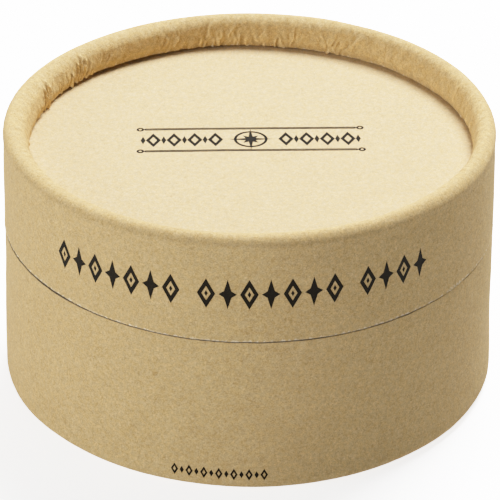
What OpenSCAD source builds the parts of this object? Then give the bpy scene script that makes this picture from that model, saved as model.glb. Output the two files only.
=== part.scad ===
// Round two-piece paperboard box with a flush lift-off lid.
// Lid and base are wound board tubes in a paper wrap. The closed end of each
// tube is curled inwards and presses on a recessed disc. A neck tube, glued
// inside the base, stands up past the joint line and guides the lid.
// Millimetres, +Z up, origin at the centre of the bottom, on the surface it stands on.

/* [Box] */
// Outside diameter over the paper wrap
box_d = 96; // [80:1:130]
// Height from the bottom curl to the top curl
box_h = 54.6; // [48:0.2:90]
// Height of the base's top edge, where base and lid meet
seam_h = 33; // [24:0.5:38]
// Gap between the base's top edge and the lid's lower edge
seam_gap = 0.15; // [0.1:0.05:0.3]

/* [Board and paper] */
// Board thickness of the lid's tube
lid_board_t = 1.5; // [1.2:0.1:2]
// Board thickness of the neck tube
neck_board_t = 1.5; // [1.2:0.1:2]
// Board thickness of the two discs
disc_board_t = 1.5; // [1.2:0.1:2.4]
// Thickness of the wrap, lining and facing papers
paper_t = 0.15; // [0.1:0.05:0.25]
// Thickness of the glue between paper and board
glue_t = 0.05; // [0.04:0.01:0.1]

/* [Curls] */
// Width of the open eye inside the lid's curl
lid_curl_eye = 0.3; // [0.2:0.1:1]
// Width of the open eye inside the base's curl
base_curl_eye = 0.8; // [0.2:0.1:1.2]
// Depth of the lid's disc below the top of its curl
lid_recess = 5.9; // [4.6:0.1:9]
// Depth of the base's disc above the bottom of its curl
base_recess = 6.4; // [5:0.1:9]
// How far the bottom curl is pressed flat where it stands
foot_press = 0.08; // [0.04:0.02:0.12]

/* [Neck] */
// Radial play between the neck and the inside of the lid
neck_play = 0.25; // [0.2:0.05:0.5]
// Gap above the neck when the lid is down
neck_headroom = 0.5; // [0.3:0.1:3]

/* [Hidden] */
$fn = 180;

// One paper with its glue
skin_t = paper_t + glue_t;

// Radii, from the outside in
wrap_r = box_d / 2;
board_r = wrap_r - skin_t;
lid_bore_r = board_r - lid_board_t;
lid_lining_r = lid_bore_r - skin_t;
neck_r = lid_lining_r - neck_play;
base_bore_r = neck_r + glue_t;
base_board_t = board_r - base_bore_r;
neck_board_r = neck_r - skin_t;
neck_bore_r = neck_board_r - neck_board_t;
neck_lining_r = neck_bore_r - skin_t;

// Curls: the radius over the paper, and the radius where its section turns
lid_curl_r = skin_t + lid_board_t + lid_curl_eye / 2;
base_curl_r = skin_t + base_board_t + base_curl_eye / 2;
lid_turn_r = wrap_r - lid_curl_r;
base_turn_r = wrap_r - base_curl_r;
lid_turn_z = box_h - lid_curl_r;
base_turn_z = base_curl_r - foot_press;

// Heights in the lid, from the top down
lid_face_z = box_h - lid_recess;
lid_lip_z = lid_face_z + glue_t + skin_t;
lid_disc_z = lid_face_z - skin_t - disc_board_t;
lid_ceiling_z = lid_disc_z - skin_t;
lid_edge_z = seam_h + seam_gap;

// Heights in the base, from the bottom up
base_lip_z = base_recess - glue_t - skin_t;
base_disc_z = base_recess + skin_t;
base_disc_top_z = base_disc_z + disc_board_t;
neck_foot_z = base_disc_top_z + glue_t;
neck_top_z = lid_ceiling_z - neck_headroom;

kraft = [0.80, 0.71, 0.53];
kraft_light = [0.92, 0.86, 0.72];
greyboard = [0.62, 0.58, 0.52];
brown_liner = [0.72, 0.60, 0.43];

// Upper half of a ring, in the radius-height plane
module half_ring(inner, outer) {
    intersection() {
        difference() {
            circle(outer);
            circle(inner);
        }
        translate([-outer, 0]) square([2 * outer, outer]);
    }
}

// Section of a wall that ends in a curl: an outer leg up from edge_z, a turn
// about [turn_r, turn_z], and an inner leg down to lip_z. The wall lies
// between the distances inner and outer from the turn's centre.
module curled_wall(edge_z, turn_r, turn_z, lip_z, inner, outer) {
    wall_t = outer - inner;
    translate([turn_r + inner, edge_z]) square([wall_t, turn_z - edge_z]);
    translate([turn_r - outer, lip_z]) square([wall_t, turn_z - lip_z]);
    translate([turn_r, turn_z]) half_ring(inner, outer);
}

// Section of a wrap paper: it follows the curl and is tucked under its lip
module curled_wrap(edge_z, turn_r, turn_z, board_lip_z, curl_r, board_t) {
    curled_wall(edge_z, turn_r, turn_z, board_lip_z - skin_t, curl_r - paper_t, curl_r);
    translate([turn_r - curl_r, board_lip_z - skin_t]) square([skin_t + board_t, paper_t]);
}

// Straight tube between two radii and two heights
module tube(inner, outer, low, high) {
    rotate_extrude() translate([inner, low]) square([outer - inner, high - low]);
}

// Flat round sheet between two heights
module sheet(radius, low, high) {
    translate([0, 0, low]) cylinder(r = radius, h = high - low);
}

module lid_wrap() {
    color(kraft) rotate_extrude()
        curled_wrap(lid_edge_z, lid_turn_r, lid_turn_z, lid_lip_z, lid_curl_r, lid_board_t);
}

module lid_tube() {
    color(greyboard) rotate_extrude()
        curled_wall(lid_edge_z, lid_turn_r, lid_turn_z, lid_lip_z,
            lid_curl_eye / 2, lid_curl_r - skin_t);
}

module lid_lining() {
    color(brown_liner)
        tube(lid_lining_r, lid_lining_r + paper_t, lid_edge_z, lid_ceiling_z - glue_t);
}

module lid_disc_face() {
    color(kraft_light) sheet(lid_bore_r - glue_t, lid_face_z - paper_t, lid_face_z);
}

module lid_disc() {
    color(greyboard) sheet(lid_bore_r - glue_t, lid_disc_z, lid_disc_z + disc_board_t);
}

module lid_disc_lining() {
    color(brown_liner) sheet(lid_bore_r - glue_t, lid_ceiling_z, lid_ceiling_z + paper_t);
}

// The neck's wrap is turned in over the top edges of the board and the lining
module neck_wrap() {
    color(kraft) rotate_extrude() {
        translate([neck_r - paper_t, neck_foot_z])
            square([paper_t, neck_top_z - neck_foot_z]);
        translate([neck_lining_r, neck_top_z - paper_t])
            square([neck_r - neck_lining_r, paper_t]);
    }
}

module neck_tube() {
    color(greyboard) tube(neck_bore_r, neck_board_r, neck_foot_z, neck_top_z - skin_t);
}

module neck_lining() {
    color(brown_liner)
        tube(neck_lining_r, neck_lining_r + paper_t, neck_foot_z, neck_top_z - skin_t);
}

// The base's wrap is pressed flat at the height it stands on
module base_wrap() {
    color(kraft) rotate_extrude() intersection() {
        mirror([0, 1])
            curled_wrap(-seam_h, base_turn_r, -base_turn_z, -base_lip_z,
                base_curl_r, base_board_t);
        square([wrap_r + 1, box_h]);
    }
}

module base_tube() {
    color(greyboard) rotate_extrude() mirror([0, 1])
        curled_wall(-seam_h, base_turn_r, -base_turn_z, -base_lip_z,
            base_curl_eye / 2, base_curl_r - skin_t);
}

module base_floor_paper() {
    color(brown_liner)
        sheet(neck_lining_r - glue_t, base_disc_top_z + glue_t, base_disc_top_z + skin_t);
}

module base_disc() {
    color(greyboard) sheet(base_bore_r - glue_t, base_disc_z, base_disc_top_z);
}

module base_disc_face() {
    color(kraft) sheet(base_bore_r - glue_t, base_recess, base_recess + paper_t);
}

lid_wrap();
lid_tube();
lid_lining();
lid_disc_face();
lid_disc();
lid_disc_lining();
neck_wrap();
neck_tube();
neck_lining();
base_wrap();
base_tube();
base_floor_paper();
base_disc();
base_disc_face();
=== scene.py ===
"""The looks of a round kraft paperboard box: paper, board, print and studio light
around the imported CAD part.

Azimuth is measured about +Z from the printed front, -Y, towards +X. Shapes are
worked out in millimetres and turned into metres where a mesh is made.
"""

import math

import bpy
import numpy as np
from mathutils import Matrix, Vector


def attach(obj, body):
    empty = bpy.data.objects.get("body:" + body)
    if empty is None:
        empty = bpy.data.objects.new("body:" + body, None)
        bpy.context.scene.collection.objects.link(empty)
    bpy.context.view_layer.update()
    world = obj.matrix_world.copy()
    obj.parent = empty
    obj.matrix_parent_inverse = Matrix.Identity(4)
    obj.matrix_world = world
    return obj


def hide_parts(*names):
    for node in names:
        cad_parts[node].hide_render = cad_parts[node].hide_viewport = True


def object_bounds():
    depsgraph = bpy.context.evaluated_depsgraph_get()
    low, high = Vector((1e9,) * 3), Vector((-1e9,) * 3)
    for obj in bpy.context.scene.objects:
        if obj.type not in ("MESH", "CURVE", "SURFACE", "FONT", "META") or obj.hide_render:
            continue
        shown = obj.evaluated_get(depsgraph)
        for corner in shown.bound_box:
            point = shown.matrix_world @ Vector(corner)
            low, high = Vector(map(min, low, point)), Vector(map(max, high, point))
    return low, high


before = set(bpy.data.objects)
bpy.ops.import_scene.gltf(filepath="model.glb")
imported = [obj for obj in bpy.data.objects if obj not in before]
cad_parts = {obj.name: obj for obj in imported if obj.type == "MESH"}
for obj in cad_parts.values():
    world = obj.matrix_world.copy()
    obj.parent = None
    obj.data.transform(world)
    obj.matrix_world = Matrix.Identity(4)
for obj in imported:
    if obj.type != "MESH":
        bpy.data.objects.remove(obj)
cad_low, cad_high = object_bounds()

MM = 0.001
TAU = 2 * math.pi


# ---------------------------------------------------------------- sizes from the frame

def vertices(node):
    """Radius and height of every vertex of a CAD node, in mm."""
    points = np.array([v.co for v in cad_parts[node].data.vertices]) / MM
    return np.hypot(points[:, 0], points[:, 1]), points[:, 2]


def extent(node):
    """Smallest radius, largest radius, lowest and highest point of a CAD node, in mm."""
    radius, height = vertices(node)
    return radius.min(), radius.max(), height.min(), height.max()


LID_LIP_R, WRAP_R, LID_EDGE_Z, LID_TOP_Z = extent("lid_wrap")
BASE_LIP_R, _, BASE_FOOT_Z, BASE_EDGE_Z = extent("base_wrap")
_, BOARD_R, _, _ = extent("lid_tube")
_, _, BASE_BOARD_FOOT_Z, _ = extent("base_tube")
_, DISC_R, FACE_LOW_Z, FACE_Z = extent("lid_disc_face")
_, CEILING_R, CEILING_Z, CEILING_HIGH_Z = extent("lid_disc_lining")
_, UNDER_R, UNDER_Z, UNDER_HIGH_Z = extent("base_disc_face")
LINING_R, LINING_BACK_R, _, LINING_TOP_Z = extent("lid_lining")
NECK_HOLE_R, NECK_R, NECK_FOOT_Z, NECK_TOP_Z = extent("neck_wrap")
_, NECK_LINING_BACK_R, _, NECK_LINING_TOP_Z = extent("neck_lining")
_, FLOOR_R, FLOOR_LOW_Z, FLOOR_Z = extent("base_floor_paper")

PAPER_T = FACE_Z - FACE_LOW_Z
SKIN_T = WRAP_R - BOARD_R
GLUE_T = SKIN_T - PAPER_T
LID_CURL_R = (WRAP_R - LID_LIP_R) / 2
BASE_CURL_R = (WRAP_R - BASE_LIP_R) / 2
LID_BOARD_T = BOARD_R - LINING_BACK_R - GLUE_T
BASE_BOARD_T = BOARD_R - NECK_R - GLUE_T


# ---------------------------------------------------------------- smooth random shapes

def smooth(x, low, high):
    """0 below low, 1 above high, and a smooth step between."""
    t = np.clip((x - low) / (high - low), 0, 1)
    return t * t * (3 - 2 * t)


def turned(azimuth, centre):
    """Azimuth measured from a centre given in degrees, from -pi to pi."""
    return (azimuth - math.radians(centre) + math.pi) % TAU - math.pi


def bell(azimuth, centre, width):
    """A soft bump round a direction, centre and width in degrees, 1 at its centre."""
    return np.exp(-((np.degrees(turned(azimuth, centre)) / width) ** 2))


def bumps(azimuth, rows):
    """The sum of soft bumps, each given as its height in mm, its centre and width."""
    return sum(height * bell(azimuth, centre, width) for height, centre, width in rows)


def wander(azimuth, along, waves, pitch, seed, count=24):
    """A smooth random field of about unit size, whole round the box. waves is the
    range of waves in a turn, and pitch the shortest wave in mm along the section."""
    rng = np.random.default_rng(seed)
    field = np.zeros(np.broadcast(azimuth, along).shape)
    for _ in range(count):
        turns = rng.integers(waves[0], waves[1] + 1)
        rate = rng.uniform(-1, 1) * TAU / pitch
        phase = rng.uniform(0, TAU)
        field += np.cos(turns * azimuth + rate * along + phase)
    return field * math.sqrt(2 / count)


def drift(x, y, pitch, seed, count=20):
    """A smooth random field of about unit size over a plane. pitch is in mm."""
    rng = np.random.default_rng(seed)
    field = np.zeros(np.broadcast(x, y).shape)
    for _ in range(count):
        heading, phase = rng.uniform(0, TAU, 2)
        rate = TAU / (pitch * rng.uniform(1, 2.5))
        field += np.cos(rate * (x * math.cos(heading) + y * math.sin(heading)) + phase)
    return field * math.sqrt(2 / count)


# ---------------------------------------------------------------- meshes

def azimuths(count):
    """Evenly spaced azimuths, once round."""
    return np.arange(count) * TAU / count


def rings_of(radius, height, azimuth):
    """Points on rings. Radius and height have a row per ring, and may have a column
    per azimuth."""
    radius, height, azimuth = np.broadcast_arrays(radius, height, azimuth)
    return np.stack(
        [radius * np.sin(azimuth), -radius * np.cos(azimuth), height], axis=-1
    )


def quads_between(rows, columns, looped):
    """Quads between rings of points, the last ring joined to the first if looped."""
    row = np.arange(rows if looped else rows - 1)[:, None]
    column = np.arange(columns)[None, :]
    beside = (column + 1) % columns
    above = (row + 1) % rows
    corners = np.broadcast_arrays(
        row * columns + column,
        row * columns + beside,
        above * columns + beside,
        above * columns + column,
    )
    return np.stack(corners, axis=-1).reshape(-1, 4)


def signed_volume(points, quads):
    """The volume that the quads close in, negative if they face inwards."""
    a, b, c, d = (points[quads[:, k]] for k in range(4))
    total = np.einsum("ij,ij->i", a, np.cross(b, c)).sum()
    total += np.einsum("ij,ij->i", a, np.cross(c, d)).sum()
    return total


def ring_solid(rings, looped=True):
    """Points and faces of a closed solid through rings of points. The last ring joins
    the first if looped, and otherwise a fan closes each end."""
    rows, columns = rings.shape[:2]
    points = rings.reshape(-1, 3)
    quads = quads_between(rows, columns, looped)
    faces = quads.tolist()
    if not looped:
        first, last = rows * columns, rows * columns + 1
        points = np.vstack([points, rings[0].mean(0), rings[-1].mean(0)])
        end = (rows - 1) * columns
        for column in range(columns):
            beside = (column + 1) % columns
            faces.append([first, beside, column])
            faces.append([last, end + column, end + beside])
    if signed_volume(points, quads) < 0:
        faces = [face[::-1] for face in faces]
    return points, faces


SHARP_ABOVE = 40        # edges that bend by more than these degrees are shaded sharp


def solids_object(name, solids, material):
    """One smooth mesh object of one or more closed solids in mm."""
    points, faces, start = [], [], 0
    for solid_points, solid_faces in solids:
        points.append(solid_points)
        faces += [[start + corner for corner in face] for face in solid_faces]
        start += len(solid_points)
    mesh = bpy.data.meshes.new(name)
    mesh.from_pydata((np.vstack(points) * MM).tolist(), [], faces)
    mesh.polygons.foreach_set("use_smooth", [True] * len(faces))
    mesh.set_sharp_from_angle(angle=math.radians(SHARP_ABOVE))
    mesh.materials.append(material)
    obj = bpy.data.objects.new(name, mesh)
    bpy.context.scene.collection.objects.link(obj)
    return obj


def lathe(name, rings, material, looped=True, **marks):
    """A closed object through rings of points. marks are values per point, which the
    material reads as attributes."""
    obj = solids_object(name, [ring_solid(rings, looped)], material)
    for mark, values in marks.items():
        data = np.zeros(len(obj.data.vertices), np.float32)
        values = np.broadcast_to(values, rings.shape[:2]).ravel()
        data[: len(values)] = values
        obj.data.attributes.new(mark, "FLOAT", "POINT").data.foreach_set("value", data)
    return obj


# ---------------------------------------------------------------- sections

SAME_POINT = 1e-6       # points closer than this, in mm, count as one


class Section:
    """A line in the radius-height plane, with its normals."""

    def __init__(self):
        self.points = []
        self.normals = []

    def line(self, start, end, steps):
        """Straight from start to end, its normal to the right of its way."""
        start, end = np.array(start, float), np.array(end, float)
        way = (end - start) / np.linalg.norm(end - start)
        for t in np.linspace(0, 1, steps + 1):
            self.points.append(start + t * (end - start))
            self.normals.append((way[1], -way[0]))

    def arc(self, centre, radius, first, last, steps):
        """Round centre from one angle to another, in degrees, its normal outwards."""
        for angle in np.radians(np.linspace(first, last, steps + 1)):
            normal = np.array((math.cos(angle), math.sin(angle)))
            self.points.append(np.array(centre) + radius * normal)
            self.normals.append(normal)

    def columns(self):
        """Radius, height, the normal's two parts and the length so far, as columns."""
        points, normals = np.array(self.points), np.array(self.normals)
        gaps = np.linalg.norm(np.diff(points, axis=0), axis=1)
        keep = np.r_[True, gaps > SAME_POINT]
        points, normals = points[keep], normals[keep]
        gaps = np.linalg.norm(np.diff(points, axis=0), axis=1)
        length = np.r_[0, np.cumsum(gaps)]
        return [c[:, None] for c in (*points.T, *normals.T, length)]


# ---------------------------------------------------------------- how the tubes stray

LIP_ROUND = 0.26        # radius of the paper where it turns under the lip
BELLY = 1.15            # how far the curl's inner leg bulges towards the axis
SEAM_EASE = 0.09        # how far each cut edge is drawn back from the joint line
LAP_T = 0.1             # how far the overlapping edge of a wrap stands up
LAP_W = 9               # width of that overlap
LID_LAP, BASE_LAP, NECK_LAP = 157, 171, 64     # azimuths of the overlaps, in degrees
TORN_SPOT = (55, 3.2)   # azimuth and width, in degrees, of a tear in the lid's cut edge
FINE_EDGE = 1.2         # length of wall at the cut edge that has closer rings
SHOULDER = 7            # the same for the wall next to the curl

# Soft bumps seen in the photo: height in mm, azimuth and width in degrees
SEAM_UP = ((0.55, -58, 36), (0.3, 66, 30))      # both edges of the joint are up
SEAM_GAPE = ((0.46, -66, 24),)                  # the lid's edge is up further
LID_PROUD = ((0.06, -66, 40),)                  # the lid stands out at the joint
BASE_FLARE = ((0.46, -92, 45),)                 # the base widens towards its foot
BASE_SPREAD = ((0.22, 90, 60),)                 # and here only in its lower half
LID_LIP_LIFT = ((0.6, -138, 30), (0.14, 175, 22))
LID_CREST = ((0.3, 0, 60), (0.32, 140, 45))
BASE_CREST = ((-0.75, -62, 38), (-0.28, 72, 26))
LID_CREST_RISE, BASE_CREST_RISE = 0.2, -0.06    # the crests' rise without the bumps


def seam_wave(azimuth):
    """How far the joint line strays from level."""
    slow = bumps(azimuth, SEAM_UP) - 0.05
    return slow + 0.02 * wander(azimuth, 0, (20, 80), 1, 12, 16)


def out_of_round(azimuth):
    """How far every tube stands out from a true circle."""
    return 0.08 * np.cos(2 * azimuth - 1.1) + 0.05 * np.cos(3 * azimuth + 0.6)


def lap_rise(azimuth, centre):
    """A wrap's own overlap: a cut edge on one side and a soft fall on the other."""
    past = turned(azimuth, centre) * WRAP_R
    return LAP_T * smooth(past, 0, 0.25) * (1 - smooth(past, LAP_W - 2, LAP_W))


class Rim:
    """One tube with its wrap and its curled end, and how it strays from its nominal
    section. The base's is worked out upside down: sign is -1."""

    def __init__(self, sign, edge_z, end_z, lip_z, curl_r, board_t, lap, seed):
        self.sign = sign
        self.edge_z = sign * edge_z
        self.turn_z = sign * end_z - curl_r
        self.lip_z = sign * lip_z
        self.curl_r = curl_r
        self.board_t = board_t
        self.lap = lap
        self.seed = seed
        self.lip_r = WRAP_R - 2 * curl_r
        self.wall = self.turn_z - self.edge_z
        self.turn = math.pi * curl_r
        self.leg = self.turn_z - self.lip_z - LIP_ROUND

    def section(self, steps, with_lip=True):
        """The paper's outside: cut edge, wall, curl and inner leg, and with the lip
        also its round and the tuck under the board. steps says how many steps the
        edge, each half of the wall, the turn, the leg and the lip's round have."""
        edge_steps, wall_steps, turn_steps, leg_steps, lip_steps = steps
        near_z = self.edge_z + FINE_EDGE
        neck_z = self.turn_z - SHOULDER
        end_z = self.lip_z + (LIP_ROUND if with_lip else SKIN_T)
        section = Section()
        section.line((WRAP_R, self.edge_z), (WRAP_R, near_z), edge_steps)
        section.line((WRAP_R, near_z), (WRAP_R, neck_z), wall_steps)
        section.line((WRAP_R, neck_z), (WRAP_R, self.turn_z), wall_steps)
        section.arc((WRAP_R - self.curl_r, self.turn_z), self.curl_r, 0, 180, turn_steps)
        section.line((self.lip_r, self.turn_z), (self.lip_r, end_z), leg_steps)
        if with_lip:
            inner_r = self.lip_r + LIP_ROUND
            section.arc((inner_r, end_z), LIP_ROUND, 180, 270, lip_steps)
            outer_r = self.lip_r + self.board_t + SKIN_T
            section.line((inner_r, self.lip_z), (outer_r, self.lip_z), 1)
        return section.columns()

    def wall_stray(self, azimuth, length):
        """How far the tube's wall stands out, board and paper together: the base
        spreads towards its foot, and the lid is pinched next to its curl."""
        swell = out_of_round(azimuth)
        if self.sign < 0:
            flare = bumps(azimuth, BASE_FLARE) * smooth(length, 0, 0.9 * self.wall)
            spread = smooth(length, 0.5 * self.wall, self.wall)
            return swell + flare + spread * bumps(azimuth, BASE_SPREAD)
        shoulder = self.wall - length
        pinch = smooth(shoulder, -0.8, 1) * (1 - smooth(shoulder, 1, 6))
        proud = bumps(azimuth, LID_PROUD) + 0.02
        return swell - 0.12 * pinch + proud * (1 - smooth(length, 0, 8))

    def paper_stray(self, azimuth, length):
        """How far the paper and the board's outside stand out besides."""
        stray = 0.03 * wander(azimuth, length, (3, 16), 14, self.seed, 18)
        stray = stray + 0.008 * wander(azimuth, length, (30, 90), 4, self.seed + 7, 30)
        return stray + lap_rise(azimuth, self.lap)

    def lip_stray(self, azimuth):
        """How far the lip stands out from the axis, and how far it is lifted."""
        out = 0.1 * wander(azimuth, 0, (3, 9), 1, self.seed + 1, 8)
        lift = 0.035 * wander(azimuth, 0, (8, 60), 1, self.seed + 2, 16)
        if self.sign > 0:
            out = out + 0.35 * np.cos(turned(azimuth, 105))
            lift = lift + bumps(azimuth, LID_LIP_LIFT)
        return out, np.maximum(lift, -0.02)

    def edge_ease(self, azimuth):
        """How far the cut edge is drawn back towards the curl."""
        ease = self.sign * seam_wave(azimuth) + SEAM_EASE
        if self.sign > 0:
            ease = ease + bumps(azimuth, SEAM_GAPE)
        return ease

    def crest_rise(self, azimuth):
        """How far the curl's crest stands out, along the box's axis."""
        rise = 0.05 * wander(azimuth, 0, (2, 9), 1, self.seed + 3, 8)
        if self.sign < 0:
            return rise + BASE_CREST_RISE + bumps(azimuth, BASE_CREST)
        return rise + LID_CREST_RISE + bumps(azimuth, LID_CREST)

    def relief(self, azimuth, length, on_paper=1):
        """Slow changes of radius and height that paper and board share. turn, leg,
        inward and way run from 0 to 1 along the curl, and edge is 1 at the cut edge."""
        turn = (length - self.wall) / self.turn
        inward = smooth(turn, 0.3, 1)
        leg = smooth(length - self.wall - self.turn, -0.6 * self.leg, self.leg)
        out, lift = self.lip_stray(azimuth)
        wall = self.wall_stray(azimuth, length)
        wall = wall + on_paper * self.paper_stray(azimuth, length)
        crest = self.crest_rise(azimuth) * smooth(turn, 0, 0.5) * (1 - leg)
        gather = 0.05 * wander(azimuth, length, (34, 80), 9, self.seed + 4, 20)
        way = (length - self.wall - self.turn / 2) / (self.turn / 2 + self.leg)
        belly = smooth(way, 0, 0.86) * (1 - 0.25 * smooth(way, 0.78, 1))
        radius = wall * (1 - inward) + inward * (out + gather) - BELLY * belly
        height = crest + lift * leg
        edge = 1 - smooth(length, 0, 6)
        return radius, height + self.edge_ease(azimuth) * edge

    def wall_point(self, azimuth, height, lift):
        """Points lifted off the wall's paper at an azimuth and a true height."""
        length = np.abs(height - self.sign * self.edge_z)
        radius, _ = self.relief(azimuth, length)
        return rings_of(WRAP_R + radius + lift, height, azimuth)


def lip_height(node, lip_r):
    """The height where a wrap's lip rests next to its disc."""
    radius, height = vertices(node)
    at_lip = height[radius < lip_r + 0.1]
    return at_lip.min() if node == "lid_wrap" else at_lip.max()


lid_rim = Rim(
    1, LID_EDGE_Z, LID_TOP_Z, lip_height("lid_wrap", LID_LIP_R),
    LID_CURL_R, LID_BOARD_T, LID_LAP, 100,
)
base_rim = Rim(
    -1, BASE_EDGE_Z, BASE_BOARD_FOOT_Z - SKIN_T, lip_height("base_wrap", BASE_LIP_R),
    BASE_CURL_R, BASE_BOARD_T, BASE_LAP, 200,
)


# ---------------------------------------------------------------- folds in the curls

IN_CLUSTERS = 0.6       # share of the pleats that lie in the clusters
TUCK_STEP = 0.95        # degrees between the pleats of a tuck
DEEPEST = 0.11          # how far a crease may go in, less than the paper's thickness


def folds(rim, count, seed, clusters, tucks=()):
    """Pleats where the paper gathers round the inside of a curl. clusters are rows of
    azimuth and spread in degrees, where more than half of them lie. tucks are
    azimuths that have three long, deep pleats side by side."""
    rng = np.random.default_rng(seed)
    for _ in range(count):
        if rng.random() < IN_CLUSTERS:
            place = rng.normal(*clusters[rng.integers(len(clusters))])
        else:
            place = rng.uniform(-180, 180)
        yield {
            "place": place,
            "lean": rng.normal(-0.2, 0.3),
            "bend": rng.normal(0, 0.2),
            "reach": rng.uniform(0.12, 0.5) * (rim.leg + 0.45 * rim.turn),
            "start": rng.uniform(-0.4, 0.6) * rim.leg,
            "width": rng.uniform(0.16, 0.36),
            "rise": rng.uniform(0.08, 0.24),
            "side": rng.choice((-1, 1)),
        }
    for tuck in tucks:
        for step in (-1, 0, 1):
            yield {
                "place": tuck + step * TUCK_STEP + rng.uniform(-0.15, 0.15),
                "lean": -0.3 + 0.1 * step,
                "bend": rng.normal(0, 0.1),
                "reach": (0.95 - 0.2 * abs(step)) * (rim.leg + 0.4 * rim.turn),
                "start": -0.3,
                "width": 0.26,
                "rise": 0.36,
                "side": 1,
            }


def fold_relief(rim, azimuth, length, pleats):
    """Height of the pleats over the smooth paper: a ridge, and a valley beside it."""
    back = rim.wall + rim.turn + rim.leg - length
    relief = np.zeros(np.broadcast(azimuth, length).shape)
    for fold in pleats:
        across = turned(azimuth, fold["place"]) * rim.lip_r
        across = across - fold["lean"] * back - fold["bend"] * np.sin(1.9 * back)
        across = across * fold["side"]
        width = fold["width"]
        ridge = np.exp(-((across / width) ** 2))
        valley = np.exp(-(((across - 1.6 * width) / width) ** 2))
        top = fold["start"] + fold["reach"]
        fade = smooth(back, fold["start"] - 0.6, fold["start"] + 0.2)
        fade = fade * (1 - smooth(back, top - 0.9, top))
        relief += fold["rise"] * (ridge - 0.7 * valley) * fade
    return relief


def crumple(rim, azimuth, length, pleats):
    """Pleats and crumpled grain of the paper alone, along its normal."""
    turn = (length - rim.wall) / rim.turn
    inner = smooth(turn, 0.4, 0.75)
    grain = 0.012 * wander(azimuth, length, (140, 330), 1.0, rim.seed + 5, 60)
    dents = 0.02 * wander(azimuth, length, (50, 150), 2.4, rim.seed + 6, 40)
    relief = (grain + dents) * (0.2 + 0.8 * inner) * smooth(turn, -0.1, 0.3)
    relief = relief + inner * fold_relief(rim, azimuth, length, pleats)
    return np.maximum(relief, -DEEPEST)


def burr(rim, azimuth, length):
    """The cut edge: the lid's flares a little and is frayed, the base's is rounded."""
    if rim.sign < 0:
        return -0.05 * np.exp(-length / 0.2)
    rough = wander(azimuth, 0, (120, 380), 1, rim.seed + 8, 40)
    torn = 1 + 2.2 * bell(azimuth, *TORN_SPOT)
    return 0.05 * torn * (1 + 0.6 * rough) * np.exp(-length / 0.22)


def frayed_edge(rim, azimuth, length):
    """Where a wrap's cut fibres show, 1 at the lid's lower edge and at each lip."""
    torn = 1 + 1.6 * bell(azimuth, *TORN_SPOT)
    cut = (rim.sign > 0) * np.exp(-((length / (0.26 * torn)) ** 2))
    from_lip = length[-1] - rim.board_t - length
    edge = cut + 0.8 * np.exp(-np.abs(from_lip) / 0.4)
    return edge * (1 + 0.5 * wander(azimuth, 0, (90, 300), 1, rim.seed + 9, 30))


# Steps along each stretch of a section, as Rim.section takes them
WRAP_STEPS = (5, 8, 26, 15, 4)
WRAP_BACK_STEPS = (1, 3, 8, 3, 2)
BOARD_STEPS = (1, 5, 14, 4, 0)


def rings_under(rim, azimuth, steps, depth, on_paper=1, with_lip=True):
    """Rings a depth in mm under a wrap's outside, without the paper's fine relief."""
    radius, height, nr, nz, length = rim.section(steps, with_lip)
    stray_r, stray_z = rim.relief(azimuth, length, on_paper)
    radius = radius + stray_r - nr * depth
    height = height + stray_z - nz * depth
    return rings_of(radius, rim.sign * height, azimuth)


def wrap_rings(rim, azimuth, pleats):
    """Rings round a wrap, its shown side with all relief and a plainer back, and the
    marks on them: where paper is folded, where its edge shows, and where it curls."""
    radius, height, nr, nz, length = rim.section(WRAP_STEPS)
    stray_r, stray_z = rim.relief(azimuth, length)
    fine = crumple(rim, azimuth, length, pleats)
    front = rings_of(
        radius + stray_r + burr(rim, azimuth, length) + nr * fine,
        rim.sign * (height + stray_z + nz * fine),
        azimuth,
    )
    back = rings_under(rim, azimuth, WRAP_BACK_STEPS, PAPER_T)
    rings = np.concatenate([front, back[::-1]])
    rings[..., 2] = np.maximum(rings[..., 2], BASE_FOOT_Z)
    curl = smooth((length - rim.wall) / rim.turn, 0.45, 0.8)
    behind = np.zeros(back.shape[:2])
    marks = {
        # The fold mark is the pleats' height, which the material turns into painted shade in
        # the valleys and painted highlight on the ridges
        "fold": (fine / 0.1, behind),
        "edge": (frayed_edge(rim, azimuth, length), behind + 1),
        "curl": (np.broadcast_to(curl, fine.shape), behind),
    }
    return rings, {name: np.concatenate(rows) for name, rows in marks.items()}


def board_rings(rim, azimuth):
    """Rings round the board tube under a wrap, from its cut edge to the curl's end."""
    outside = rings_under(rim, azimuth, BOARD_STEPS, SKIN_T, 1, False)
    inside = rings_under(rim, azimuth, BOARD_STEPS, SKIN_T + rim.board_t, 0, False)
    return np.concatenate([outside, inside[::-1]])


# ---------------------------------------------------------------- plain papers

def band_rings(azimuth, inner, outer, low, high, steps, seed):
    """Rings round a paper band, open at both ends, with slightly uneven faces. low and
    high may vary with azimuth."""
    share = np.linspace(0, 1, steps + 1)[:, None]
    height = low + share * (high - low)
    stray = out_of_round(azimuth) + 0.02 * wander(azimuth, height, (4, 30), 9, seed, 20)
    inside = rings_of(inner + stray, height, azimuth)
    outside = rings_of(outer + stray, height, azimuth)
    return np.concatenate([inside, outside[::-1]])


FACE_SEED = 401         # the random field of the lid's face, which its print follows


def disc_warp(x, y, seed):
    """How a pasted disc paper strays from flat: broad waves, and a dip at its edge."""
    radius = np.hypot(x, y)
    wave = 0.035 * drift(x, y, 26, seed) + 0.006 * drift(x, y, 5, seed + 1, 40)
    return wave * (1 - smooth(radius, 38, 45)) - 0.1 * smooth(radius, 36, 47) ** 2


def disc_rings(azimuth, radius, low, high, warped, seed, steps=40):
    """Rings over a disc paper from the middle of one face round to the other.
    warped is the face that shows: 1 the upper, -1 the lower."""
    spread = np.linspace(0.02, 1, steps)[:, None] * radius
    faces = []
    for height, shown in ((high, warped > 0), (low, warped < 0)):
        flat = rings_of(spread, height, azimuth)
        if shown:
            flat[..., 2] += warped * disc_warp(flat[..., 0], flat[..., 1], seed)
        faces.append(flat)
    return np.concatenate([faces[0], faces[1][::-1]])


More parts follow.
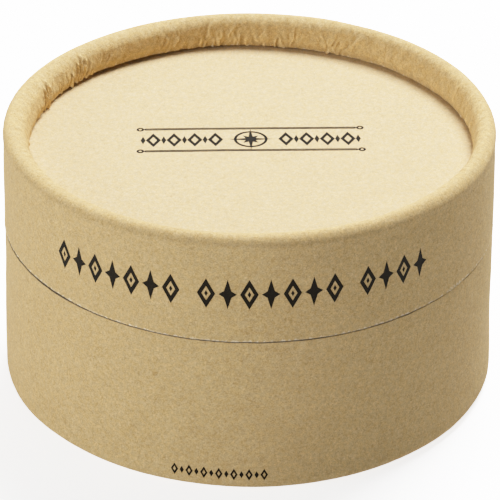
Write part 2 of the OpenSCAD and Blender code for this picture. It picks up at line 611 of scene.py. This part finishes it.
def neck_rings(azimuth):
    """Rings round the neck's paper: up its outside, over the top, and back beneath."""
    bend = 2 * PAPER_T
    turn = (NECK_R - bend, NECK_TOP_Z - bend)
    shown = Section()
    shown.line((NECK_R, NECK_FOOT_Z), (NECK_R, turn[1]), 16)
    shown.arc(turn, bend, 0, 90, 5)
    shown.line((turn[0], NECK_TOP_Z), (NECK_HOLE_R, NECK_TOP_Z), 3)
    hidden = Section()
    low = NECK_TOP_Z - PAPER_T
    hidden.line((NECK_HOLE_R, low), (turn[0], low), 3)
    hidden.arc(turn, bend - PAPER_T, 90, 0, 4)
    hidden.line((NECK_R - PAPER_T, turn[1]), (NECK_R - PAPER_T, NECK_FOOT_Z), 6)
    rings = []
    for section, rough in ((shown, 1), (hidden, 0)):
        radius, height, nr, nz, length = section.columns()
        stray = out_of_round(azimuth)
        stray = stray + rough * 0.012 * wander(azimuth, length, (3, 40), 8, 310, 24)
        stray = stray + 0.6 * rough * lap_rise(azimuth, NECK_LAP) * np.maximum(nr, 0)
        top = 0.02 * rough * wander(azimuth, 0, (2, 30), 1, 311, 16) * nz
        rings.append(rings_of(radius + stray, height + top, azimuth))
    return np.concatenate(rings)


# ---------------------------------------------------------------- printed marks

INK_T = 0.02            # how far the print's surface is above the paper
INK_SUNK = 0.03         # how far its underside is in the paper


def outline(corners, per_side):
    """Points along the sides of a polygon."""
    corners = np.array(corners, float)
    ahead = np.roll(corners, -1, axis=0)
    share = np.arange(per_side)[:, None] / per_side
    sides = [a + share * (b - a) for a, b in zip(corners, ahead)]
    return np.concatenate(sides)


def lozenge(half_w, half_h, per_side=6):
    """A square stood on a corner, or one drawn out."""
    return outline([(half_w, 0), (0, half_h), (-half_w, 0), (0, -half_h)], per_side)


def star(long_w, long_h, short, waist, per_side=4):
    """A star of four long points and, if short isn't 0, four short ones between."""
    points = 8 if short else 4
    corners = []
    for i in range(points):
        angle = TAU * i / points
        reach = 1 if i % (points // 4) == 0 else short
        tip = (long_w * reach * math.cos(angle), long_h * reach * math.sin(angle))
        between = angle + TAU / points / 2
        corners += [tip, (waist * math.cos(between), waist * math.sin(between))]
    return outline(corners, per_side)


def capsule(half_w, half_h, per_end=10, per_side=24):
    """A long bar with round ends."""
    angles = np.linspace(-math.pi / 2, math.pi / 2, per_end)
    straight = half_w - half_h
    end = np.stack([straight + half_h * np.cos(angles), half_h * np.sin(angles)], -1)
    along = np.linspace(straight, -straight, per_side + 2)[1:-1]
    top = np.stack([along, np.full(per_side, half_h)], -1)
    return np.concatenate([end, top, -end, -top])


def ring_outline(radius, count=48):
    """A circle."""
    angle = azimuths(count)
    return radius * np.stack([np.cos(angle), np.sin(angle)], -1)


def filled(shape, levels=3):
    """A filled mark: its outline and smaller copies, from the middle out."""
    return np.array([shape * s for s in np.linspace(0.04, 1, levels + 1)]), False


def hollow(outer, inner):
    """A mark that is the band between two outlines."""
    return np.array([inner, (inner + outer) / 2, outer]), True


def mark_solid(mark, centre, place):
    """A printed mark as a thin closed solid. place turns its own right and up, in mm,
    and a lift off the paper into points."""
    levels, is_hollow = mark
    right = levels[..., 0] + centre[0]
    up = levels[..., 1] + centre[1]
    rings = [place(right, up, INK_T), place(right[::-1], up[::-1], -INK_SUNK)]
    return ring_solid(np.concatenate(rings), looped=is_hollow)


def side_marks():
    """Three groups of tall marks round the front of the lid: hollow lozenges with a
    dot, and four-pointed stars, in turn."""
    pitch, space, half_w, half_h = 4.03, 2.75, 1.72, 3.15
    eye = hollow(lozenge(half_w, half_h), lozenge(half_w - 0.86, half_h - 1.6))
    dot = filled(lozenge(0.34, 0.66))
    spark = filled(star(half_w, half_h, 0, 0.98))
    right = 0
    places = []
    for group in (7, 7, 4):
        for i in range(group):
            places.append((right, i % 2))
            right += pitch
        right += space
    middle = places[-1][0] / 2
    for right, is_star in places:
        if is_star:
            yield spark, (right - middle, 0)
        else:
            yield eye, (right - middle, 0)
            yield dot, (right - middle, 0)


def foot_marks():
    """A row of small lozenges low on the front of the base, hollow and filled in turn."""
    count, pitch = 13, 1.44
    eye = hollow(lozenge(0.72, 1.3), lozenge(0.3, 0.56))
    dot = filled(lozenge(0.42, 0.8), 2)
    for i in range(count):
        yield (dot if i % 2 else eye), (pitch * (i - count // 2), 0)


def disc_marks():
    """A compass star in a ring, with lozenges to both sides, between two long rails
    that end in small rings."""
    rail_up, rail_end = 4.5, 21.6
    first_eye, first_dot, pitch = 6.9, 8.92, 4.05
    yield filled(star(4.2, 4.2, 0.5, 1.1, 5), 4), (0, 0)
    yield hollow(ring_outline(3.3), ring_outline(2.75)), (0, 0)
    for up in (-rail_up, rail_up):
        yield hollow(capsule(20.85, 0.4), capsule(20.5, 0.05)), (0, up)
        for end in (-rail_end, rail_end):
            yield hollow(ring_outline(0.75), ring_outline(0.3)), (end, up)
    for side in (-1, 1):
        for i in range(4):
            eye = hollow(lozenge(1.5, 2.8), lozenge(0.72, 1.4))
            yield eye, (side * (first_eye + pitch * i), 0)
            yield filled(lozenge(0.5, 1.6), 2), (side * (first_dot + pitch * i), 0)


def on_wall(rim, middle_azimuth, middle_z):
    """Maps right and up onto a wall, round a middle given in degrees and mm."""

    def place(right, up, lift):
        azimuth = math.radians(middle_azimuth) + right / WRAP_R
        return rim.wall_point(azimuth, middle_z + up, lift)

    return place


def on_disc(centre, tilt):
    """Maps right and up onto the lid's disc, tilted by an angle in degrees."""

    def place(right, up, lift):
        angle = math.radians(tilt)
        x = centre[0] + right * math.cos(angle) - up * math.sin(angle)
        y = centre[1] + right * math.sin(angle) + up * math.cos(angle)
        return np.stack([x, y, FACE_Z + disc_warp(x, y, FACE_SEED) + lift], axis=-1)

    return place


# ---------------------------------------------------------------- materials

KRAFT = (0.628, 0.423, 0.188)
# The face's kraft is the wrap's kraft made paler and less yellow: painted light for the
# brightly lit top face, also used on the base's underside
LIT_FACE_KRAFT = (0.628, 0.45, 0.236)
LINER = (0.5, 0.335, 0.16)
BOARD = (0.36, 0.31, 0.25)
INK = (0.0098, 0.0074, 0.0042)
WORN_INK = (0.16, 0.12, 0.07)
FIBRE = (0.86, 0.77, 0.58)          # torn paper fibres
PLY_T = 0.36                        # thickness of one ply of the board
DARKENING = (0.92, 1.06, 1.35)      # how fast red, green and blue darken in paper


class Shader:
    """A material's node tree, built up socket by socket. Lengths are in mm."""

    def __init__(self, name):
        self.material = bpy.data.materials.new(name)
        self.material.use_nodes = True
        self.tree = self.material.node_tree
        self.tree.nodes.clear()
        place = self.add("ShaderNodeTexCoord").outputs["Object"]
        self.place = self.vector("SCALE", place, scale=1 / MM)

    def add(self, kind, ports=None, **settings):
        """A node with its settings, and its inputs linked or set."""
        made = self.tree.nodes.new(kind)
        for name, value in settings.items():
            setattr(made, name, value)
        for port, value in (ports or {}).items():
            socket = made.inputs[port]
            if isinstance(value, bpy.types.NodeSocket):
                self.tree.links.new(value, socket)
            else:
                socket.default_value = value
        return made

    def vector(self, operation, a, b=None, scale=None):
        """A vector operation's result. Its inputs are sockets or plain values."""
        ports = {0: a}
        if b is not None:
            ports[1] = b
        if scale is not None:
            ports["Scale"] = scale
        return self.add("ShaderNodeVectorMath", ports, operation=operation).outputs[0]

    def math(self, operation, a, b=0.0, c=0.0):
        """A number operation's result. Its inputs are sockets or plain numbers."""
        ports = {0: a, 1: b, 2: c}
        return self.add("ShaderNodeMath", ports, operation=operation).outputs[0]

    def product(self, first, *others):
        """The product of two or more factors."""
        for other in others:
            first = self.math("MULTIPLY", first, other)
        return first

    def gain(self, share, amount):
        """A factor that is 1 where share is 0, and 1 + amount where it is 1."""
        return self.math("MULTIPLY_ADD", share, amount, 1.0)

    def noise(self, size, detail, distortion=0.0, shift=0.0):
        """Noise of a feature size in mm, from 0 to 1. shift picks another field."""
        ports = {
            "Vector": self.vector("ADD", self.place, (shift, 2 * shift, -shift)),
            "Scale": 1 / size,
            "Detail": detail,
            "Roughness": 0.55,
            "Distortion": distortion,
        }
        return self.add("ShaderNodeTexNoise", ports).outputs[0]

    def span(self, value, low, high, out_low=0.0, out_high=1.0):
        """value from low to high taken to out_low to out_high, and held there."""
        ports = {0: value, 1: low, 2: high, 3: out_low, 4: out_high}
        made = self.add("ShaderNodeMapRange", ports, interpolation_type="SMOOTHSTEP")
        return made.outputs[0]

    def swing(self, value, amount):
        """Noise turned into a factor round 1."""
        return self.gain(self.math("SUBTRACT", value, 0.5), amount)

    def tinted(self, colour, factor):
        """colour times factor."""
        return self.vector("SCALE", colour, scale=factor)

    def shaded(self, colour, factor):
        """colour times factor, and browner where it is darker."""
        parts = [self.math("MULTIPLY_ADD", factor, k, 1 - k) for k in DARKENING]
        gains = self.add("ShaderNodeCombineXYZ", dict(zip("XYZ", parts)))
        return self.vector("MULTIPLY", colour, gains.outputs[0])

    def mixed(self, a, b, share):
        """Colour a where share is 0 and colour b where it is 1. The mix node's colours
        are its inputs 6 and 7, and its output 2."""
        ports = {0: share}
        for port, colour in ((6, a), (7, b)):
            linked = isinstance(colour, bpy.types.NodeSocket)
            ports[port] = colour if linked else (*colour, 1)
        return self.add("ShaderNodeMix", ports, data_type="RGBA").outputs[2]

    def mark(self, name):
        """Values that a mesh carries at its points."""
        return self.add("ShaderNodeAttribute", attribute_name=name).outputs["Fac"]

    def threads(self, size, width, shift, cover):
        """Thin curved fibres, 1 on a fibre. cover is how much of the sheet has them."""
        field = self.noise(size, 1.0, 0.6, shift)
        off = self.math("ABSOLUTE", self.math("SUBTRACT", field, 0.5))
        line = self.span(off, 0.0, width, 1.0, 0.0)
        patch = self.span(self.noise(size * 0.8, 1.0, 0.0, shift + 31), 1 - cover, 1.1 - cover)
        return self.product(line, patch)

    def specks(self, spacing, size, share, shift):
        """Rare dark specks, 1 in a speck. share is the share of cells that have one."""
        ports = {
            "Vector": self.vector("ADD", self.place, (shift, shift, shift)),
            "Scale": 1 / spacing,
        }
        cells = self.add("ShaderNodeTexVoronoi", ports)
        spot = self.span(cells.outputs["Distance"], 0.4 * size, size, 1.0, 0.0)
        split = self.add("ShaderNodeSeparateColor", {0: cells.outputs["Color"]})
        chosen = self.math("LESS_THAN", split.outputs[0], share)
        return self.product(spot, chosen)

    def finish(self, colour, height, depth, rough, specular):
        """The surface itself. height is a relief from 0 to 1 that is depth mm deep."""
        bump = self.add("ShaderNodeBump", {"Height": height, "Distance": depth * MM})
        ports = {
            "Base Color": colour,
            "Normal": bump.outputs[0],
            "Roughness": rough,
            "Specular IOR Level": specular,
        }
        surface = self.add("ShaderNodeBsdfPrincipled", ports)
        self.add("ShaderNodeOutputMaterial", {"Surface": surface.outputs[0]})
        return self.material


def scaled(colour, gains):
    """A plain colour with its red, green and blue each times a gain."""
    return tuple(c * k for c, k in zip(colour, gains))


def paper(name, colour, depth=0.065, contrast=1.0, marked=False, specks=0.05):
    """Unbleached paper: cloudy pulp, grain, pale and dark fibres, and bark specks.
    specks is their share. Marked paper also shows its frayed edges and is crushed where it
    curls, and has painted shade in the valleys of its folds and painted highlight on their
    ridges, from values that the mesh carries."""
    s = Shader(name)
    cloud = s.noise(7, 3.0)
    pulp = s.noise(1.5, 3.0, 0.3, 5)
    grain = s.noise(0.55, 2.0, 0.0, 11)
    tooth = s.noise(0.24, 1.0, 0.0, 17)
    pale = s.threads(1.3, 0.03, 23, 0.55)
    dark = s.threads(1.7, 0.024, 47, 0.5)
    factor = s.product(
        s.swing(cloud, 0.16 * contrast),
        s.swing(pulp, 0.34 * contrast),
        s.swing(grain, 0.72 * contrast),
        s.swing(tooth, 1.1 * contrast),
        s.gain(pale, 0.14 * contrast),
        s.gain(dark, -0.24 * contrast),
    )
    height = s.math("MULTIPLY_ADD", grain, 0.6, s.math("MULTIPLY", tooth, 0.3))
    height = s.math("MULTIPLY_ADD", pulp, 0.5, height)
    height = s.math("MULTIPLY_ADD", pale, 0.22, height)
    warm, cool = scaled(colour, (1.02, 0.992, 0.93)), scaled(colour, (0.98, 1.008, 1.07))
    base = s.mixed(cool, warm, s.span(s.noise(0.8, 2.0, 0.2, 71), 0.35, 0.65))
    if marked:
        # Painted shade darkens the paper in the folds' valleys, and painted highlight lightens
        # it on their ridges
        factor = s.product(factor, s.span(s.mark("fold"), -1.3, 1.6, 0.76, 1.14))
        frayed = tuple(0.3 * c + 0.7 * k for c, k in zip(colour, FIBRE))
        edge = s.product(s.mark("edge"), s.span(grain, 0.3, 0.7, 0.2, 1.0))
        base = s.mixed(base, frayed, s.span(edge, 0.1, 0.8, 0.0, 0.85))
        crush = s.product(s.noise(0.75, 3.0, 0.4, 83), s.mark("curl"))
        height = s.math("MULTIPLY_ADD", crush, 1.6, height)
    base = s.shaded(base, factor)
    bark = s.specks(3.2, 0.035, specks, 3)
    base = s.mixed(base, scaled(colour, (0.3, 0.3, 0.3)), s.product(bark, 0.85))
    return s.finish(base, height, depth, 0.82, 0.15)


def greyboard(name, colour):
    """Wound waste-paper board: its plies show as rings on a cut edge."""
    s = Shader(name)
    axes = s.add("ShaderNodeSeparateXYZ", {0: s.place})
    x, y = axes.outputs[0], axes.outputs[1]
    radius = s.math("SQRT", s.math("ADD", s.product(x, x), s.product(y, y)))
    shaken = s.math("MULTIPLY_ADD", s.noise(3.0, 3.0, 0.4, 9), 0.5, radius)
    ply = s.math("SINE", s.product(shaken, TAU / PLY_T))
    grain = s.noise(0.3, 3.0, 0.2, 13)
    cloud = s.noise(2.2, 3.0, 0.3, 19)
    hair = s.threads(0.9, 0.03, 29, 0.6)
    factor = s.product(
        s.gain(ply, 0.11), s.swing(grain, 0.55), s.swing(cloud, 0.3), s.gain(hair, 0.2)
    )
    base = s.tinted(s.mixed(colour, scaled(colour, (1.1, 1, 0.86)), cloud), factor)
    height = s.math("MULTIPLY_ADD", ply, 0.2, s.math("MULTIPLY_ADD", hair, 0.3, grain))
    return s.finish(base, height, 0.12, 0.92, 0.25)


def ink(name, colour):
    """Printed ink with the paper's tooth showing through it."""
    s = Shader(name)
    tooth = s.noise(0.22, 2.0, 0.0, 17)
    cloud = s.noise(1.2, 2.0, 0.0, 53)
    worn = s.span(s.noise(0.16, 2.0, 0.0, 61), 0.62, 0.75)
    factor = s.product(s.swing(tooth, 0.7), s.swing(cloud, 0.5))
    base = s.tinted(s.mixed(colour, WORN_INK, s.product(worn, 0.35)), factor)
    return s.finish(base, s.math("ADD", tooth, cloud), 0.02, 0.75, 0.08)


def plain_floor(name, seen, bounced, seen_glow, bounced_glow):
    """A pale floor that is seen as one colour and lights the box as a darker one. It
    also glows, by one amount where it is seen and by a lesser one towards the box."""
    s = Shader(name)
    path = s.add("ShaderNodeLightPath").outputs
    base = s.mixed(seen, bounced, path["Is Diffuse Ray"])
    base = s.tinted(base, s.swing(s.noise(60, 2.0), 0.01))
    s.finish(base, s.noise(2.0, 2.0), 0.01, 0.9, 0.0)
    surface = s.tree.nodes["Principled BSDF"]
    surface.inputs["Emission Color"].default_value = (*seen, 1)
    glow = s.product(path["Is Camera Ray"], seen_glow)
    glow = s.math("MULTIPLY_ADD", path["Is Diffuse Ray"], bounced_glow, glow)
    s.tree.links.new(glow, surface.inputs["Emission Strength"])
    return s.material


wrap_paper = paper("kraft_wrap_paper", KRAFT, contrast=0.84, marked=True)
# The face paper's paler colour is painted light for the lid's brightly lit top
lit_face_paper = paper("kraft_face_paper_lit_paler", LIT_FACE_KRAFT, depth=0.045, contrast=0.6, specks=0.04)
liner_paper = paper("lining_paper", LINER, depth=0.04, contrast=1.1, specks=0.09)
board = greyboard("greyboard", BOARD)
print_ink = ink("print_ink", INK)


# ---------------------------------------------------------------- the pieces

WRAP_COLUMNS = 1100
BOARD_COLUMNS = 480
BAND_COLUMNS = 480
BAND_STEPS = 14
NECK_COLUMNS = 720
DISC_COLUMNS = 240


def keep(obj, body, slot, *nodes):
    """Ties a piece to its body and hides the CAD nodes it stands for. slot, its material slot,
    is not used.
    """
    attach(obj, body)
    if nodes:
        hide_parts(*nodes)
    return obj


def rim_pieces(rim, body, pleats):
    """A wrap with its pleats, and the board tube under it."""
    azimuth = azimuths(WRAP_COLUMNS)
    rings, marks = wrap_rings(rim, azimuth, pleats)
    wrap = lathe(f"{body}_wrap_paper", rings, wrap_paper, **marks)
    keep(wrap, body, "kraft_wrap", f"{body}_wrap")
    tube = lathe(f"{body}_board", board_rings(rim, azimuths(BOARD_COLUMNS)), board)
    keep(tube, body, "greyboard", f"{body}_tube")


def band_piece(name, sizes, seed, body, node):
    """A lining. sizes are its inner and outer radius and its lower and upper edge."""
    rings = band_rings(azimuths(BAND_COLUMNS), *sizes, BAND_STEPS, seed)
    keep(lathe(name, rings, liner_paper), body, "lining_paper", node)


def disc_piece(name, sizes, warped, seed, material, body, slot, node):
    """A disc's paper. sizes are its radius and its lower and upper face."""
    rings = disc_rings(azimuths(DISC_COLUMNS), *sizes, warped, seed)
    keep(lathe(name, rings, material, looped=False), body, slot, node)


def print_piece(name, marks, place, body):
    """One print, made of marks that place puts on a paper."""
    solids = [mark_solid(mark, centre, place) for mark, centre in marks]
    keep(solids_object(name, solids, print_ink), body, "print_ink")


# Where pleats crowd, as azimuth and spread in degrees, and where long tucks are
LID_CLUSTERS = ((-168, 8), (178, 8), (-128, 4), (-110, 4), (157, 2))
LID_TUCKS = (-128, -111)
BASE_CLUSTERS = ((20, 14), (-100, 12), (140, 14))
BASE_TUCKS = (33,)
rim_pieces(lid_rim, "lid", list(folds(lid_rim, 150, 5, LID_CLUSTERS, LID_TUCKS)))
rim_pieces(base_rim, "base", list(folds(base_rim, 120, 6, BASE_CLUSTERS, BASE_TUCKS)))

lid_edge = LID_EDGE_Z + lid_rim.edge_ease(azimuths(BAND_COLUMNS))
band_piece(
    "lid_lining_paper", (LINING_R, LINING_BACK_R, lid_edge, LINING_TOP_Z),
    301, "lid", "lid_lining",
)
band_piece(
    "neck_lining_paper", (NECK_HOLE_R, NECK_LINING_BACK_R, NECK_FOOT_Z, NECK_LINING_TOP_Z),
    302, "base", "neck_lining",
)
neck_paper = paper("neck_wrap_kraft", KRAFT)
keep(
    lathe("neck_wrap_paper", neck_rings(azimuths(NECK_COLUMNS)), neck_paper),
    "base", "kraft_wrap", "neck_wrap",
)

disc_piece(
    "lid_face_paper", (DISC_R, FACE_LOW_Z, FACE_Z), 1, FACE_SEED,
    lit_face_paper, "lid", "kraft_face", "lid_disc_face",
)
disc_piece(
    "lid_ceiling_paper", (CEILING_R, CEILING_Z, CEILING_HIGH_Z), -1, 411,
    liner_paper, "lid", "lining_paper", "lid_disc_lining",
)
disc_piece(
    "base_face_paper", (UNDER_R, UNDER_Z, UNDER_HIGH_Z), -1, 421,
    lit_face_paper, "base", "kraft_face", "base_disc_face",
)
disc_piece(
    "floor_paper", (FLOOR_R, FLOOR_LOW_Z, FLOOR_Z), 1, 431,
    liner_paper, "base", "lining_paper", "base_floor_paper",
)

for node in ("lid_disc", "base_disc", "neck_tube"):
    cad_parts[node].data.materials.clear()
    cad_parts[node].data.materials.append(board)

# The middle of each print: azimuth in degrees and height in mm, or x and y in mm.
# The tilt is in degrees
SIDE_PRINT_AT = (-2.2, 43.4)
DISC_PRINT_AT = (0.3, 3.2)
DISC_PRINT_TILT = 1.5
FOOT_PRINT_AT = (-6.6, 3.9)
print_piece("lid_side_print", side_marks(), on_wall(lid_rim, *SIDE_PRINT_AT), "lid")
print_piece("lid_disc_print", disc_marks(), on_disc(DISC_PRINT_AT, DISC_PRINT_TILT), "lid")
print_piece("base_foot_print", foot_marks(), on_wall(base_rim, *FOOT_PRINT_AT), "base")


# ---------------------------------------------------------------- floor, camera, light

TABLE_HALF = 3000       # half the studio floor's side, in mm
TABLE_CUTS = 8          # squares along a side
TABLE_HIGH_Z = -0.01    # its upper face, just under the box
TABLE_LOW_Z = -20       # its lower face


def floor_slab():
    """A large flat floor just under the box, as a closed slab."""
    count = TABLE_CUTS + 1
    layer = count ** 2
    side = np.linspace(-TABLE_HALF, TABLE_HALF, count)
    x, y = np.meshgrid(side, side)
    levels = [np.full_like(x, level) for level in (TABLE_HIGH_Z, TABLE_LOW_Z)]
    points = np.vstack([np.stack([x, y, z], -1).reshape(-1, 3) for z in levels])
    faces = []
    for row in range(TABLE_CUTS):
        for column in range(TABLE_CUTS):
            a = row * count + column
            top = [a, a + 1, a + count + 1, a + count]
            faces += [top, [layer + i for i in reversed(top)]]
    border = [*range(count), *range(2 * count - 1, layer, count)]
    border += [*range(layer - 2, layer - count - 1, -1)]
    border += [*range(layer - 2 * count, 0, -count)]
    for a, b in zip(border, border[1:] + border[:1]):
        faces.append([b, a, a + layer, b + layer])
    return points, faces


TABLE_SEEN = (0.93, 0.93, 0.93)
TABLE_BOUNCED = (0.25, 0.25, 0.25)
SEEN_GLOW, BOUNCED_GLOW = 0.9, 0.34
floor_paint = plain_floor("studio_floor", TABLE_SEEN, TABLE_BOUNCED, SEEN_GLOW, BOUNCED_GLOW)
floor = solids_object("studio_floor", [floor_slab()], floor_paint)

BOX_MIDDLE = (cad_low + cad_high) / 2
LOOK_DOWN = 29.62                   # degrees below level
CAMERA_AWAY = 15.86 * WRAP_R * MM
CAMERA_LENS = 277.2                 # in mm, as is the sensor
CAMERA_SENSOR = 36
CAMERA_ROLL = 0.004                 # radians
AIM_OFF = Vector((0.24, -1.46, 0)) * MM     # right and up of the box's middle


def direction(azimuth, elevation):
    """Unit vector from the box towards an azimuth and elevation in degrees."""
    a, e = math.radians(azimuth), math.radians(elevation)
    return Vector((math.sin(a) * math.cos(e), -math.cos(a) * math.cos(e), math.sin(e)))


def add_camera():
    """The photo's camera: far off, a little above, and rolled a little."""
    data = bpy.data.cameras.new("camera")
    data.lens = CAMERA_LENS
    data.sensor_width = CAMERA_SENSOR
    data.clip_start = 0.05
    camera = bpy.data.objects.new("camera", data)
    bpy.context.scene.collection.objects.link(camera)
    back = direction(0, LOOK_DOWN)
    turn = (-back).to_track_quat("-Z", "Y").to_matrix()
    aim = BOX_MIDDLE + turn @ AIM_OFF
    roll = Matrix.Rotation(CAMERA_ROLL, 3, "Z")
    camera.matrix_world = Matrix.Translation(aim + back * CAMERA_AWAY) @ (turn @ roll).to_4x4()
    bpy.context.scene.camera = camera


def add_light(name, azimuth, elevation, away, size, power):
    """A square soft light that looks at the box. Angles in degrees, sizes in metres."""
    data = bpy.data.lights.new(name, "AREA")
    data.size = size
    data.energy = power
    light = bpy.data.objects.new(name, data)
    bpy.context.scene.collection.objects.link(light)
    way = direction(azimuth, elevation)
    light.location = BOX_MIDDLE + way * away
    light.rotation_mode = "QUATERNION"
    light.rotation_quaternion = (-way).to_track_quat("-Z", "Y")


def add_world(strength):
    """A faint white light from all sides."""
    world = bpy.data.worlds.new("studio")
    world.use_nodes = True
    background = world.node_tree.nodes["Background"]
    background.inputs["Color"].default_value = (1, 1, 1, 1)
    background.inputs["Strength"].default_value = strength
    bpy.context.scene.world = world


# Where the curve has points, as shares of its range, closer where it bends most
CURVE_SHARES = (0.02, 0.05, 0.1, 0.17, 0.25, 0.35, 0.47, 0.6, 0.8)


def film_curve(steepness, top):
    """A film-like shoulder over scene light from 0 to top, as a display curve."""
    view = bpy.context.scene.view_settings
    view.view_transform = "Standard"
    view.look = "None"
    view.use_curve_mapping = True
    curve = view.curve_mapping
    curve.white_level = (top, top, top)
    combined = curve.curves[3]
    for share in CURVE_SHARES:
        combined.points.new(share, 1 - math.exp(-steepness * top * share))
    combined.points[-1].location = (1, 1 - math.exp(-steepness * top))
    curve.update()


# Name, azimuth and elevation in degrees, distance and width in metres, power in watts
LIGHTS = (
    ("key", 153, 58, 1.3, 0.6, 25.2),
    ("left_fill", -64, 12, 1.3, 0.7, 8.4),
    ("front_fill", 0, 6, 1.3, 0.7, 0.5),
    ("back_fill", -170, 30, 1.3, 0.6, 2.2),
)
WORLD_STRENGTH = 0.05
FILM_STEEPNESS, FILM_TOP = 2.05, 3.0

add_camera()
for light in LIGHTS:
    add_light(*light)
add_world(WORLD_STRENGTH)
film_curve(FILM_STEEPNESS, FILM_TOP)
